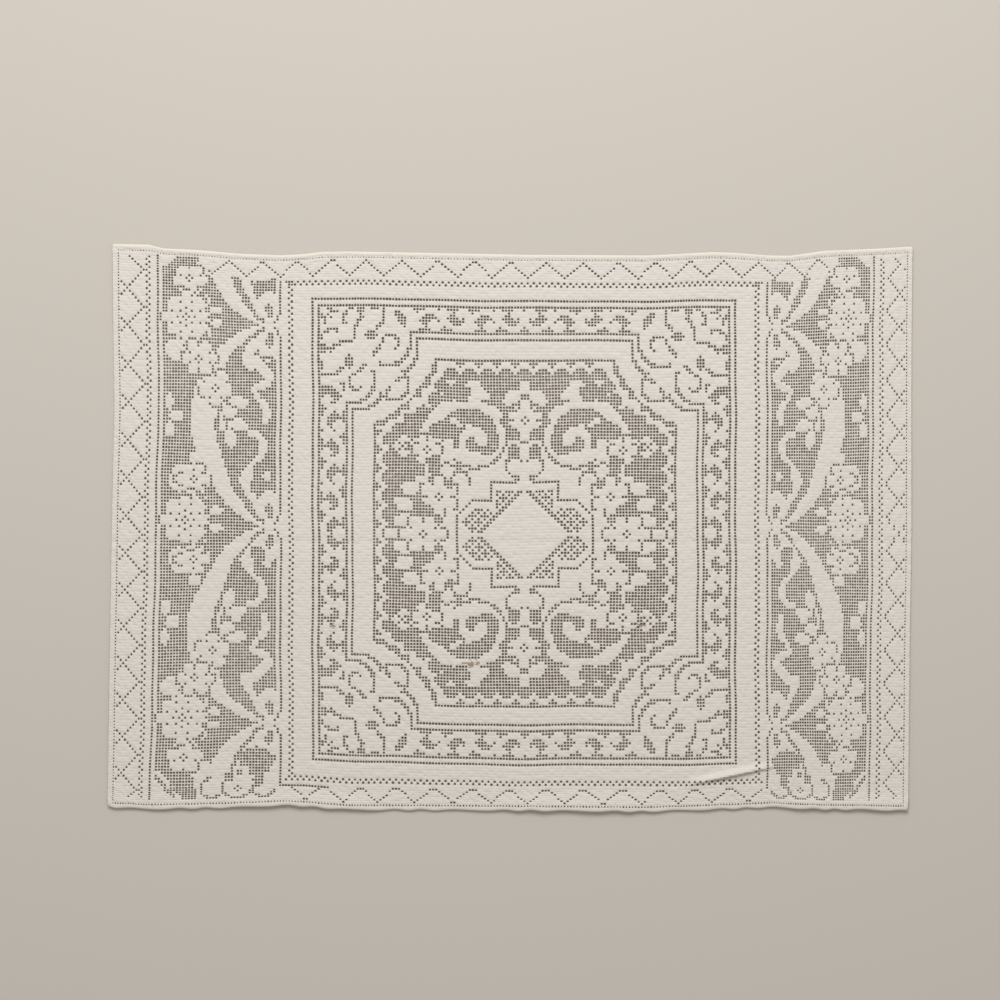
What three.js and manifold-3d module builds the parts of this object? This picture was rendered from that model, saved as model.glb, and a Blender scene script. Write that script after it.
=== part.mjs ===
// A small filet lace table cloth, lying flat: a cream net darned with a framed
// octagon, scroll borders, corner leaves and two side panels of ribbons and bows.
// Millimetres, +Z up. The origin is under the middle of the cloth, on the table.
// The design is laid out on the net's own columns (to the right) and rows (towards
// the near edge), counted from the middle of the octagon. place() turns a column
// and row into millimetres, with the uneven pull of the real cloth.

import * as THREE from 'three';
import { mergeVertices } from 'three/addons/utils/BufferGeometryUtils.js';
import Module from 'manifold-3d';

const wasm = await Module();
wasm.setup();

// Thicknesses
const DARNED = 1.6;        // worked, filled areas
const NET = 1.0;           // open net ground
const LINE = 1.2;          // left under a line of single holes
const HEM = 2.2;           // rolled hems along the far and near edges
const SELVEDGE = 1.8;      // woven side edges
const CUT_CLEAR = 1.0;     // how far a cutter stands above what it cuts

// Net counts
const LAST_COLUMN = 140;
const LAST_ROW = 92;
const FAR_HEM_ROWS = 1.6;
const NEAR_HEM_ROWS = 1;
const SELVEDGE_COLUMNS = 1.6;
const LINE_WIDTH = 0.9;    // in cells

// Where the net's key columns lie across the middle of the cloth
const COLUMN_X = [
  { column: -140, x: -298.4 },
  { column: -124, x: -265.6 },
  { column: -81, x: -171.9 },
  { column: -70, x: -147.8 },
  { column: -58, x: -120.2 },
  { column: -49, x: -101.7 },
  { column: -11, x: -14.0 },
  { column: 0, x: 10.9 },
  { column: 49, x: 124.2 },
  { column: 58, x: 142.6 },
  { column: 70, x: 169.0 },
  { column: 81, x: 192.8 },
  { column: 124, x: 271.6 },
  { column: 140, x: 300.7 },
];

// Where its key rows lie along the middle column
const ROW_Y = [
  { row: -92, y: 204.6 },
  { row: -90, y: 200.4 },
  { row: -89, y: 198.0 },
  { row: -83, y: 186.8 },
  { row: -81, y: 182.6 },
  { row: -75, y: 169.4 },
  { row: -73, y: 164.4 },
  { row: -64, y: 144.8 },
  { row: -62, y: 140.1 },
  { row: -56, y: 124.7 },
  { row: 0, y: -5.6 },
  { row: 75, y: -177.8 },
  { row: 81, y: -190.6 },
  { row: 84, y: -197.3 },
  { row: 90, y: -206.4 },
  { row: 91, y: -208.6 },
  { row: 92, y: -212.1 },
];

// How far the sides lean to the right, from the far edge to the near one
const SIDE_LEAN = [
  { row: -92, farLeft: 0.6, left: 1.5, right: 1.3, farRight: 0.9 },
  { row: -64, farLeft: 1.2, left: 2.0, right: 0.7, farRight: 0.2 },
  { row: -40, farLeft: 2.1, left: 2.2, right: 0.3, farRight: 0.0 },
  { row: 0, farLeft: 0.0, left: 0.0, right: 0.0, farRight: 0.0 },
  { row: 40, farLeft: -1.4, left: -1.7, right: -1.3, farRight: -1.4 },
  { row: 92, farLeft: -3.2, left: -5.0, right: -2.7, farRight: -2.5 },
];

// How far each edge and frame line is pulled towards the far side, across the cloth
const ROW_PULL = [
  { column: -140, farEdge: 8.2, farFrame: 6.0, middle: 3.1, nearFrame: 2.8, nearEdge: 2.6 },
  { column: -127, farEdge: 7.6, farFrame: 5.5, middle: 2.4, nearFrame: 3.0, nearEdge: 1.4 },
  { column: -122, farEdge: 4.8, farFrame: 5.2, middle: 2.3, nearFrame: 3.2, nearEdge: 1.2 },
  { column: -110, farEdge: 3.6, farFrame: 4.1, middle: 2.1, nearFrame: 3.6, nearEdge: 1.7 },
  { column: -96, farEdge: 0.9, farFrame: 3.0, middle: 2.0, nearFrame: 4.0, nearEdge: 2.4 },
  { column: -81, farEdge: -0.4, farFrame: 2.6, middle: 1.8, nearFrame: 4.3, nearEdge: 4.1 },
  { column: -73, farEdge: 0.5, farFrame: 2.6, middle: 1.5, nearFrame: 4.6, nearEdge: 3.4 },
  { column: -67, farEdge: 2.2, farFrame: 2.3, middle: 1.4, nearFrame: 4.0, nearEdge: 2.2 },
  { column: -58, farEdge: 2.5, farFrame: 1.9, middle: 1.2, nearFrame: 3.1, nearEdge: 0.7 },
  { column: -35, farEdge: 1.6, farFrame: 1.7, middle: 0.7, nearFrame: 1.2, nearEdge: 0.5 },
  { column: 0, farEdge: 0.0, farFrame: 0.0, middle: 0.0, nearFrame: 0.0, nearEdge: 0.1 },
  { column: 40, farEdge: -0.5, farFrame: 0.2, middle: 0.7, nearFrame: 0.0, nearEdge: -0.7 },
  { column: 62, farEdge: 2.0, farFrame: 0.6, middle: 1.1, nearFrame: 0.6, nearEdge: 0.9 },
  { column: 70, farEdge: 1.5, farFrame: 0.7, middle: 1.3, nearFrame: 0.8, nearEdge: 1.5 },
  { column: 81, farEdge: -0.4, farFrame: 1.3, middle: 1.4, nearFrame: 1.6, nearEdge: 2.6 },
  { column: 90, farEdge: -0.7, farFrame: 1.8, middle: 1.4, nearFrame: 1.8, nearEdge: 2.0 },
  { column: 104, farEdge: 3.0, farFrame: 2.6, middle: 1.5, nearFrame: 2.1, nearEdge: 1.1 },
  { column: 124, farEdge: 4.5, farFrame: 3.4, middle: 1.6, nearFrame: 2.1, nearEdge: 0.7 },
  { column: 140, farEdge: 6.2, farFrame: 3.7, middle: 2.0, nearFrame: 2.1, nearEdge: 0.0 },
];
const FRAME_ROW = 75;

// The one raised crease, near the frame's right near corner
const CREASE = {
  from: { x: 134, y: -192.3 },
  to: { x: 198, y: -178.5 },
  height: 3.2,
  halfWidth: 5.5,
  tip: 0.02,
  stations: 12,
  sides: 6,
};

// Straight lines of holes: the frame and the four turned bands inside it, as half
// columns and half rows from the middle
const FRAME_LINES = [
  { columns: 70, rows: 75 },
  { columns: 68, rows: 73 },
];
const BAND_LINES = [
  { row: 64, column: 59, fromColumn: 37, fromRow: 43 },
  { row: 62, column: 57, fromColumn: 35, fromRow: 41 },
];
const SIDE_LINES = [81, 124];
const ZIGZAG = { inner: 84, outer: 89.5, columns: 12, reach: 78 };
const SIDE_ZIGZAG = { inner: 129.5, outer: 135.5, rows: 12, reach: 78 };

// The octagon of net and its scalloped edge
const OCTAGON = { row: 53, column: 46, cornerColumn: 27, cornerRow: 33, scallop: 6, depth: 2 };

// One quarter of the octagon's flowers and scrolls, darned over the net
const OCTAGON_OVALS = [
  { column: 0, row: 0, across: 27, along: 25, lobes: 0 },
  { column: 0, row: -37, across: 6.5, along: 6, lobes: 6 },
  { column: 0, row: -46, across: 2.6, along: 4, lobes: 0 },
  { column: -16.5, row: -47, across: 2, along: 3, lobes: 0 },
  { column: -32, row: -27.5, across: 6, along: 6, lobes: 6 },
  { column: -40, row: -28.5, across: 3.4, along: 2.4, lobes: 0 },
  { column: -36, row: -14, across: 3, along: 2, lobes: 0 },
  { column: -29, row: -12, across: 6, along: 6, lobes: 6 },
  { column: -34, row: 0, across: 6.5, along: 6, lobes: 6 },
  { column: -43, row: 0, across: 2.4, along: 1.6, lobes: 0 },
];
const OCTAGON_SCROLL = [
  { column: -31, row: -34.5, width: 3 },
  { column: -28, row: -39, width: 4.5 },
  { column: -22, row: -41.5, width: 4 },
  { column: -15, row: -42, width: 4 },
  { column: -9, row: -38.5, width: 4 },
  { column: -6.5, row: -31, width: 3.5 },
  { column: -8, row: -24, width: 3 },
];
// Net left open inside the scrolls
const SCROLL_NET = [
  { column: -24, row: -39, width: 1.2 },
  { column: -18, row: -38, width: 4 },
  { column: -12, row: -35, width: 4.5 },
  { column: -10.5, row: -29.5, width: 4 },
  { column: -14, row: -26.5, width: 3 },
  { column: -18, row: -29, width: 2.4 },
];
const OCTAGON_NET_OVALS = [
  { column: -26, row: -32.5, across: 4, along: 2.4, lobes: 0 },
  { column: -3.4, row: -26.5, across: 2, along: 1.6, lobes: 0 },
  { column: -28.5, row: -22, across: 2, along: 3, lobes: 0 },
  { column: -32.5, row: -8, across: 3, along: 1.6, lobes: 0 },
];
// The stepped cross of diaper work round the plain diamond
const CROSS_STEPS = [
  { column: 0, row: -16 },
  { column: -10, row: -16 },
  { column: -10, row: -10 },
  { column: -17, row: -10 },
  { column: -21, row: -6 },
  { column: -21, row: 0 },
];
const DIAMOND = { column: 16, row: 15 };

// Corner leaves: net left open round them, one quarter
const CORNER_NET = [
  { column: -67, row: -64.5, across: 1.2, along: 2.6, lobes: 0 },
  { column: -50, row: -64, across: 2.2, along: 1.6, lobes: 0 },
  { column: -58.5, row: -56, across: 2.2, along: 2.4, lobes: 0 },
  { column: -45.5, row: -69.5, across: 1.2, along: 3.4, lobes: 0 },
  { column: -55, row: -72, across: 3.4, along: 1.2, lobes: 0 },
  { column: -56.5, row: -47, across: 2.6, along: 1.8, lobes: 0 },
  { column: -49.5, row: -47.5, across: 1.2, along: 3, lobes: 0 },
  { column: -43.5, row: -54.5, across: 2.8, along: 1.2, lobes: 0 },
];

// Scroll border: bell-shaped patches of net, every 9 cells, turned up and down
const BORDER = { row: 68.5, column: 63.5, pitch: 9, first: 5, lastColumn: 33, lastRow: 41 };
const BELL = [
  { across: -2.4, out: 3.4 },
  { across: 1.4, out: 3.4 },
  { across: 0.2, out: 1.6 },
  { across: 2.6, out: 0.4 },
  { across: 1.6, out: -1.8 },
  { across: -0.8, out: -1.8 },
  { across: -2.4, out: 0.4 },
  { across: -0.8, out: 1.6 },
];

// Side panels: net with ribbons, bows and flowers, mirrored left and right
const PANEL = { inner: 82.5, outer: 122.5, farRow: -89.4, nearRow: 89.4, bowRow: -4, bowPitch: 64 };
const PANEL_ENDS = { column: 106, farRow: -81, nearRow: 81 };
const RIBBON = [
  { column: -84, row: 1, width: 3 },
  { column: -91, row: 4, width: 3.5 },
  { column: -98, row: 8.5, width: 5.5 },
  { column: -104, row: 16, width: 7 },
  { column: -107, row: 25, width: 8 },
  { column: -107.5, row: 34, width: 8.4 },
];
const BOW_OVALS = [
  { column: -86.5, row: 6.5, across: 3.4, along: 5.2, lobes: 0 },
  { column: -114.5, row: 0, across: 7.2, along: 7.2, lobes: 8 },
  { column: -117, row: 10.5, across: 3.4, along: 2.6, lobes: 0 },
  { column: -110, row: 13, across: 5, along: 5, lobes: 6 },
  { column: -106, row: 20, across: 4.4, along: 3.4, lobes: 0 },
  { column: -121, row: 30, across: 1.6, along: 3.6, lobes: 0 },
];
const TENDRIL = [
  { column: -86, row: 13, width: 2.4 },
  { column: -90, row: 17, width: 2.6 },
  { column: -89, row: 24, width: 3.2 },
  { column: -94, row: 29, width: 3 },
  { column: -99, row: 27, width: 2.2 },
];
const BOW_SLIT = { column: -85.5, row: 6, across: 1, along: 2.4, lobes: 0 };

const LINE_STEP = 30;       // cells between points along a line of holes
const FEWEST_POINTS = 6;    // round an oval
const MOST_POINTS = 24;
const POINTS_A_LOBE = 2;
const LOBE_DEPTH = 0.18;
const STROKE_STEPS = 6;
const MIRRORS = [[1, 1], [-1, 1], [1, -1], [-1, -1]];
const SIDES = [1, -1];
const BOWS = [-1, 0, 1];      // far, middle and near bow of a panel
const WELD = 1e-4;          // points closer than this are one
const CREAM = 0xd9d3c8;
const BEYOND = 6;           // cells that a trimming strip reaches past the cloth

function between(table, key, at, name) {
  let i = 0;
  while (i < table.length - 2 && at > table[i + 1][key]) i += 1;
  const low = table[i];
  const high = table[i + 1];
  const share = (at - low[key]) / (high[key] - low[key]);
  return THREE.MathUtils.lerp(low[name], high[name], share);
}

// The uneven place of a column and row, in millimetres.
function place(column, row) {
  const lean = [
    { column: -140, x: between(SIDE_LEAN, 'row', row, 'farLeft') },
    { column: -124, x: between(SIDE_LEAN, 'row', row, 'left') },
    { column: -81, x: 0 },
    { column: 81, x: 0 },
    { column: 124, x: between(SIDE_LEAN, 'row', row, 'right') },
    { column: 140, x: between(SIDE_LEAN, 'row', row, 'farRight') },
  ];
  const pull = [
    { row: -LAST_ROW, y: between(ROW_PULL, 'column', column, 'farEdge') },
    { row: -FRAME_ROW, y: between(ROW_PULL, 'column', column, 'farFrame') },
    { row: 0, y: between(ROW_PULL, 'column', column, 'middle') },
    { row: FRAME_ROW, y: between(ROW_PULL, 'column', column, 'nearFrame') },
    { row: LAST_ROW, y: between(ROW_PULL, 'column', column, 'nearEdge') },
  ];
  return new THREE.Vector2(
    between(COLUMN_X, 'column', column, 'x') + between(lean, 'column', column, 'x'),
    between(ROW_Y, 'row', row, 'y') + between(pull, 'row', row, 'y'),
  );
}

function toSolid(geometry) {
  geometry.deleteAttribute('normal');
  geometry.deleteAttribute('uv');
  const merged = mergeVertices(geometry, WELD);
  return new wasm.Manifold(new wasm.Mesh({
    numProp: 3,
    vertProperties: new Float32Array(merged.attributes.position.array),
    triVerts: new Uint32Array(merged.index.array),
  }));
}

function toGeometry(solid) {
  const mesh = solid.getMesh();
  const geometry = new THREE.BufferGeometry();
  geometry.setAttribute('position', new THREE.BufferAttribute(mesh.vertProperties, 3));
  geometry.setIndex(new THREE.BufferAttribute(mesh.triVerts, 1));
  geometry.computeVertexNormals();
  return geometry;
}

// An upright slab over points in millimetres, from height low to height high.
function slabOf(points, low, high) {
  const depth = high - low;
  const geometry = new THREE.ExtrudeGeometry(new THREE.Shape(points), { depth, bevelEnabled: false });
  geometry.translate(0, 0, low);
  return toSolid(geometry);
}

// The same over points in columns and rows.
function slab(cells, low, high) {
  return slabOf(cells.map(([column, row]) => place(column, row)), low, high);
}

function joined(solids) {
  return solids.reduce((whole, next) => whole.add(next));
}

function evenly(from, to, step) {
  const count = Math.max(1, Math.round(Math.abs(to - from) / step));
  return Array.from({ length: count }, (_, i) => from + ((to - from) * i) / count);
}

// The stops from one value to another, with the table's own values on the way.
function stops(from, to, table, key) {
  const low = Math.min(from, to);
  const high = Math.max(from, to);
  const inside = table.map((entry) => entry[key]).filter((at) => at > low && at < high);
  return [from, ...(from < to ? inside : inside.reverse())];
}

// A rectangle of cells whose sides follow the cloth's uneven edges.
function strip(column0, row0, column1, row1, low, high) {
  const cells = [
    ...stops(column0, column1, ROW_PULL, 'column').map((column) => [column, row0]),
    ...stops(row0, row1, SIDE_LEAN, 'row').map((row) => [column1, row]),
    ...stops(column1, column0, ROW_PULL, 'column').map((column) => [column, row1]),
    ...stops(row1, row0, SIDE_LEAN, 'row').map((row) => [column0, row]),
  ];
  return slab(cells, low, high);
}

// An oval, or with lobes a scalloped flower.
function ovalCells(oval, sideways, upright) {
  const round = THREE.MathUtils.clamp(Math.round(oval.across + oval.along), FEWEST_POINTS, MOST_POINTS);
  const count = oval.lobes ? oval.lobes * POINTS_A_LOBE : round;
  return Array.from({ length: count }, (_, i) => {
    const angle = (2 * Math.PI * i) / count;
    const dip = oval.lobes ? LOBE_DEPTH * (1 - Math.abs(Math.cos((angle * oval.lobes) / 2))) : 0;
    return [
      sideways * (oval.column + oval.across * (1 - dip) * Math.cos(angle)),
      upright * (oval.row + oval.along * (1 - dip) * Math.sin(angle)),
    ];
  });
}

// A band of changing width along a smooth path, as one outline.
function strokeCells(stations, steps) {
  const path = new THREE.CatmullRomCurve3(
    stations.map((s) => new THREE.Vector3(s.column, s.row, s.width)),
    false,
    'centripetal',
  );
  const left = [];
  const right = [];
  for (let i = 0; i <= steps; i += 1) {
    const spot = path.getPoint(i / steps);
    const along = path.getTangent(i / steps);
    const across = new THREE.Vector2(-along.y, along.x).normalize().multiplyScalar(spot.z / 2);
    left.push([spot.x + across.x, spot.y + across.y]);
    right.unshift([spot.x - across.x, spot.y - across.y]);
  }
  return [...left, ...right];
}

function mirrored(cells, sideways, upright) {
  return cells.map(([column, row]) => [sideways * column, upright * row]);
}

// The four mirrored outlines of an oval, or fewer where it lies on an axis.
function ovalsRound(oval) {
  const apart = MIRRORS.filter(([sideways, upright]) => (
    (oval.column !== 0 || sideways === 1) && (oval.row !== 0 || upright === 1)
  ));
  return apart.map(([sideways, upright]) => ovalCells(oval, sideways, upright));
}

// A shallow groove for a line of holes through the darned work, along a straight stretch.
function lineCut([c0, r0], [c1, r1]) {
  const length = Math.hypot(c1 - c0, r1 - r0);
  const across = [((r0 - r1) / length) * (LINE_WIDTH / 2), ((c1 - c0) / length) * (LINE_WIDTH / 2)];
  const shares = [...evenly(0, 1, LINE_STEP / length), 1];
  const middle = shares.map((t) => [c0 + (c1 - c0) * t, r0 + (r1 - r0) * t]);
  return zigzagCut(middle, across);
}

// The same for a line that turns back and forth, as one outline.
function zigzagCut(spots, across) {
  const near = spots.map(([c, r]) => [c + across[0], r + across[1]]);
  const far = spots.map(([c, r]) => [c - across[0], r - across[1]]).reverse();
  return slab([...near, ...far], LINE, DARNED + CUT_CLEAR);
}

function netCut(cells) {
  return slab(cells, NET, DARNED + CUT_CLEAR);
}

// Work that is left standing inside a patch of net.
function work(cells) {
  return slab(cells, 0, DARNED + 2 * CUT_CLEAR);
}

function octagonEdge() {
  const { row, column, cornerColumn, cornerRow, scallop, depth } = OCTAGON;
  const corners = [
    [-cornerColumn, -row], [cornerColumn, -row], [column, -cornerRow], [column, cornerRow],
    [cornerColumn, row], [-cornerColumn, row], [-column, cornerRow], [-column, -cornerRow],
  ];
  return corners.flatMap(([c0, r0], i) => {
    const [c1, r1] = corners[(i + 1) % corners.length];
    const length = Math.hypot(c1 - c0, r1 - r0);
    const inward = [-(r1 - r0) / length, (c1 - c0) / length];
    const waves = 2 * Math.round(length / scallop);
    return Array.from({ length: waves }, (_, k) => {
      const dip = k % 2 ? 0 : depth;
      return [
        c0 + ((c1 - c0) * k) / waves + inward[0] * dip,
        r0 + ((r1 - r0) * k) / waves + inward[1] * dip,
      ];
    });
  });
}

function octagonNet() {
  const turned = (stations) => MIRRORS.map(([sideways, upright]) => (
    mirrored(strokeCells(stations, STROKE_STEPS), sideways, upright)
  ));
  const darned = [...OCTAGON_OVALS.flatMap(ovalsRound), ...turned(OCTAGON_SCROLL)].map(work);
  const open = [...OCTAGON_NET_OVALS.flatMap(ovalsRound), ...turned(SCROLL_NET)].map(netCut);
  return netCut(octagonEdge()).subtract(joined(darned)).add(joined(open)).add(crossNet());
}

function crossNet() {
  const arm = CROSS_STEPS.map((s) => [s.column, s.row]);
  const quarter = (sideways, upright) => mirrored(arm, sideways, upright);
  const around = [
    ...quarter(1, 1),
    ...quarter(1, -1).reverse().slice(1),
    ...quarter(-1, -1).slice(1),
    ...quarter(-1, 1).reverse().slice(1, -1),
  ];
  const { column, row } = DIAMOND;
  const diamond = work([[0, -row], [-column, 0], [0, row], [column, 0]]);
  return slab(around, LINE, DARNED + CUT_CLEAR).subtract(diamond);
}

function cornerNet() {
  return joined(CORNER_NET.flatMap(ovalsRound).map(netCut));
}

function scrollBorders() {
  const { row, column, pitch, first, lastColumn, lastRow } = BORDER;
  const cuts = [];
  for (let i = 0; first + i * pitch <= lastRow; i += 1) {
    const at = first + i * pitch;
    const turn = i % 2 ? -1 : 1;
    MIRRORS.forEach(([sideways, upright]) => {
      const across = BELL.map((b) => [sideways * (at + b.across), -upright * (row + turn * b.out)]);
      const along = BELL.map((b) => [-sideways * (column + turn * b.out), upright * (at + b.across)]);
      if (at <= lastColumn) cuts.push(netCut(across));
      cuts.push(netCut(along));
    });
  }
  return joined(cuts);
}

// The open net of one side panel, with its ribbons, bows and flowers left standing.
function panelNet(side) {
  const { inner, outer, farRow, nearRow, bowRow, bowPitch } = PANEL;
  const { column, farRow: farEnd, nearRow: nearEnd } = PANEL_ENDS;
  const overTop = HEM + CUT_CLEAR;
  const solids = SIDES.map((upright) => (upright < 0
    ? strip(side * (inner - BEYOND), farRow - BEYOND, side * column, farEnd, 0, overTop)
    : strip(side * (inner - BEYOND), nearEnd, side * column, nearRow + BEYOND, 0, overTop)));
  const slits = [];
  BOWS.forEach((bow) => SIDES.forEach((upright) => {
    const put = (cells) => cells.map(([c, r]) => [-side * c, bowRow + bow * bowPitch + upright * r]);
    const ovals = BOW_OVALS.filter((oval) => oval.row !== 0 || upright === 1);
    solids.push(...ovals.map((oval) => work(put(ovalCells(oval, 1, 1)))));
    solids.push(work(put(strokeCells(RIBBON, STROKE_STEPS))));
    solids.push(work(put(strokeCells(TENDRIL, STROKE_STEPS))));
    slits.push(netCut(put(ovalCells(BOW_SLIT, 1, 1))));
  }));
  const ground = strip(side * inner, farRow, side * outer, nearRow, NET, DARNED + CUT_CLEAR);
  return ground.subtract(joined(solids)).add(joined(slits));
}

function lineWork() {
  const cuts = [];
  SIDES.forEach((sign) => {
    FRAME_LINES.forEach(({ columns, rows }) => {
      const end = columns + LINE_WIDTH;
      cuts.push(lineCut([-end, sign * rows], [end, sign * rows]));
      cuts.push(lineCut([sign * columns, -rows], [sign * columns, rows]));
    });
    BAND_LINES.forEach(({ row, column, fromColumn, fromRow }) => {
      cuts.push(lineCut([-fromColumn, sign * row], [fromColumn, sign * row]));
      cuts.push(lineCut([sign * column, -fromRow], [sign * column, fromRow]));
    });
    SIDE_LINES.forEach((column) => {
      cuts.push(lineCut([sign * column, PANEL_ENDS.farRow], [sign * column, PANEL_ENDS.nearRow]));
    });
  });
  return joined(cuts);
}

function zigzags() {
  const half = ZIGZAG.columns / 2;
  const sideHalf = SIDE_ZIGZAG.rows / 2;
  const across = evenly(-ZIGZAG.reach, ZIGZAG.reach + half, half);
  const along = evenly(-SIDE_ZIGZAG.reach, SIDE_ZIGZAG.reach + sideHalf, sideHalf);
  return joined(SIDES.flatMap((sign) => [
    zigzagCut(
      across.map((c, i) => [c, sign * (i % 2 ? ZIGZAG.outer : ZIGZAG.inner)]),
      [0, LINE_WIDTH / 2],
    ),
    zigzagCut(
      along.map((r, i) => [sign * (i % 2 ? SIDE_ZIGZAG.outer : SIDE_ZIGZAG.inner), r]),
      [LINE_WIDTH / 2, 0],
    ),
  ]));
}

// A long low hump on a flat floor, highest in the middle of its length.
function crest(height, halfWidth, low) {
  const { from, to, tip, stations, sides } = CREASE;
  const along = new THREE.Vector2(to.x - from.x, to.y - from.y);
  const across = new THREE.Vector2(-along.y, along.x).normalize();
  const positions = [];
  const faces = [];
  const ring = sides + 2;
  for (let i = 0; i <= stations; i += 1) {
    const t = i / stations;
    const rise = Math.sin(Math.PI * THREE.MathUtils.clamp(t, tip, 1 - tip));
    const reach = (halfWidth * (1 + rise)) / 2;
    const middle = new THREE.Vector2(from.x, from.y).addScaledVector(along, t);
    for (let k = 0; k < ring; k += 1) {
      const turn = Math.min(k, sides) / sides;
      const out = k > sides ? 0 : reach * Math.cos(Math.PI * turn);
      const up = k > sides ? 0 : height * rise * Math.sin(Math.PI * turn) ** 2;
      positions.push(middle.x + across.x * out, middle.y + across.y * out, low + up);
    }
  }
  const spot = (i, k) => i * ring + (k % ring);
  for (let i = 0; i < stations; i += 1) {
    for (let k = 0; k < ring; k += 1) {
      faces.push(spot(i, k), spot(i, k + 1), spot(i + 1, k));
      faces.push(spot(i + 1, k), spot(i, k + 1), spot(i + 1, k + 1));
    }
  }
  for (let k = 1; k < ring - 1; k += 1) {
    faces.push(spot(0, 0), spot(0, k + 1), spot(0, k));
    faces.push(spot(stations, 0), spot(stations, k), spot(stations, k + 1));
  }
  const geometry = new THREE.BufferGeometry();
  geometry.setAttribute('position', new THREE.Float32BufferAttribute(positions, 3));
  geometry.setIndex(faces);
  return toSolid(geometry);
}

function clothSolid() {
  const sheet = (top) => strip(-LAST_COLUMN, -LAST_ROW, LAST_COLUMN, LAST_ROW, 0, top);
  const wide = LAST_COLUMN + BEYOND;
  const deep = LAST_ROW + BEYOND;
  const hemFrom = [FAR_HEM_ROWS - LAST_ROW, LAST_ROW - NEAR_HEM_ROWS];
  const hems = hemFrom.map((row) => sheet(HEM).intersect(
    strip(-wide, row, wide, Math.sign(row) * deep, -CUT_CLEAR, HEM + CUT_CLEAR),
  ));
  const selvedgeFrom = LAST_COLUMN - SELVEDGE_COLUMNS;
  const selvedges = SIDES.map((sign) => sheet(SELVEDGE).intersect(
    strip(sign * selvedgeFrom, -deep, sign * wide, deep, -CUT_CLEAR, HEM + CUT_CLEAR),
  ));
  const panels = SIDES.map(panelNet);
  const cuts = [octagonNet(), cornerNet(), scrollBorders(), ...panels, lineWork(), zigzags()];
  const { height, halfWidth } = CREASE;
  return sheet(DARNED)
    .subtract(joined(cuts))
    .add(joined([...hems, ...selvedges]))
    .add(crest(height, halfWidth, NET / 2))
    .subtract(crest(height, halfWidth - NET, -NET));
}

const material = new THREE.MeshStandardMaterial({ color: CREAM, roughness: 0.92, metalness: 0 });
const cloth = new THREE.Mesh(toGeometry(clothSolid()), material);
cloth.name = 'lace_cloth';

const part = new THREE.Group();
part.add(cloth);

export default part;
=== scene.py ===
"""A small filet lace table cloth, lying flat, seen from straight above.

The lace is counted on its own net: columns run to the right and rows towards the near
edge, both from the middle of the octagon. `chart` says which cells of the net are open,
`place` turns columns and rows into millimetres, and `lace_pieces` makes the threads.
"""

import bpy
import numpy as np
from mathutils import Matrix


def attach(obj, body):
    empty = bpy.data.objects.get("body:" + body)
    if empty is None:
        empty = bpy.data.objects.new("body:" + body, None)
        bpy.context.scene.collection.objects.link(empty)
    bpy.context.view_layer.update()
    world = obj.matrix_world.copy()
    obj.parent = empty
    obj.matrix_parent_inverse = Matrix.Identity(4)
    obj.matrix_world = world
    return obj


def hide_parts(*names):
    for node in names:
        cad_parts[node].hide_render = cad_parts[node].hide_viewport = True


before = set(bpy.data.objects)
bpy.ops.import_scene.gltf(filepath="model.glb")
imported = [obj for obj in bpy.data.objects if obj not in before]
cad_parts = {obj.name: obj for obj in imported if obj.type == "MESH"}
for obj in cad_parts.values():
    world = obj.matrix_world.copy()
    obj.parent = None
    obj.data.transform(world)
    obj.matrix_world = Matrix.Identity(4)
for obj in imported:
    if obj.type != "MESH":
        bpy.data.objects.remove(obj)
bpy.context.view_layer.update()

MM = 0.001

# Net counts and thicknesses, in millimetres
LAST_COLUMN = 140
LAST_ROW = 91
EDGE_ROW = 92
DARNED = 1.5
NET = 1.15
SELVEDGE = 1.8
SELVEDGE_COLUMN = 138.4
FAR_HEM_WIDTH = 3.4
NEAR_HEM_WIDTH = 2.7
HEM_HEIGHT = 1.65
HEM_SIDES = 12
HEM_PLUMP = 0.08
HEM_WOBBLE = 0.45
RIB = 0.065
UNEVEN_HEIGHT = 0.25
UNEVEN_HOLE = 0.1
SEED = 11

# One open cell, in shares of a cell: an eight-sided hole that narrows towards the table
HOLE_REACH = 0.38
HOLE_FLAT = 0.2
HOLE_FOOT = 0.15
# How far a hole's rim dips, in millimetres
HOLE_DIP = 0.3
# How large the holes are, from column to column: the side panels are finer
HOLE_SHARE = ((-124, 0.94), (-83, 0.96), (-75, 1), (75, 1), (83, 0.92), (124, 0.9))
FAR_DOT_SHARE = 0.42
EDGE_DOT_SHARE = 0.58

# The lace is made in this many blocks of columns
PIECES = 6

# Where the net's key columns and rows lie: count, millimetres
COLUMN_X = (
    (-140, -298.4), (-124, -265.6), (-81, -171.9), (-70, -147.8), (-58, -120.2),
    (-49, -101.7), (-11, -14.0), (0, 10.9), (49, 124.2), (58, 142.6),
    (70, 169.0), (81, 192.8), (124, 271.6), (140, 300.7),
)
ROW_Y = (
    (-92, 204.6), (-90, 200.4), (-89, 198.0), (-83, 186.8), (-81, 182.6), (-75, 169.4),
    (-73, 164.4), (-64, 144.8), (-62, 140.1), (-56, 124.7), (0, -5.6), (75, -177.8),
    (81, -190.6), (84, -197.3), (90, -206.4), (91, -208.6), (92, -212.1),
)
# How far the sides lean to the right: row, then a value for each of LEAN_COLUMNS
LEAN_COLUMNS = (-140, -124, -81, 81, 124, 140)
SIDE_LEAN = (
    (-92, 0.6, 1.5, 0, 0, 1.3, 0.9),
    (-64, 1.2, 2.0, 0, 0, 0.7, 0.2),
    (-40, 2.1, 2.2, 0, 0, 0.3, 0.0),
    (0, 0.0, 0.0, 0, 0, 0.0, 0.0),
    (40, -1.4, -1.7, 0, 0, -1.3, -1.4),
    (92, -3.2, -5.0, 0, 0, -2.7, -2.5),
)
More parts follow.
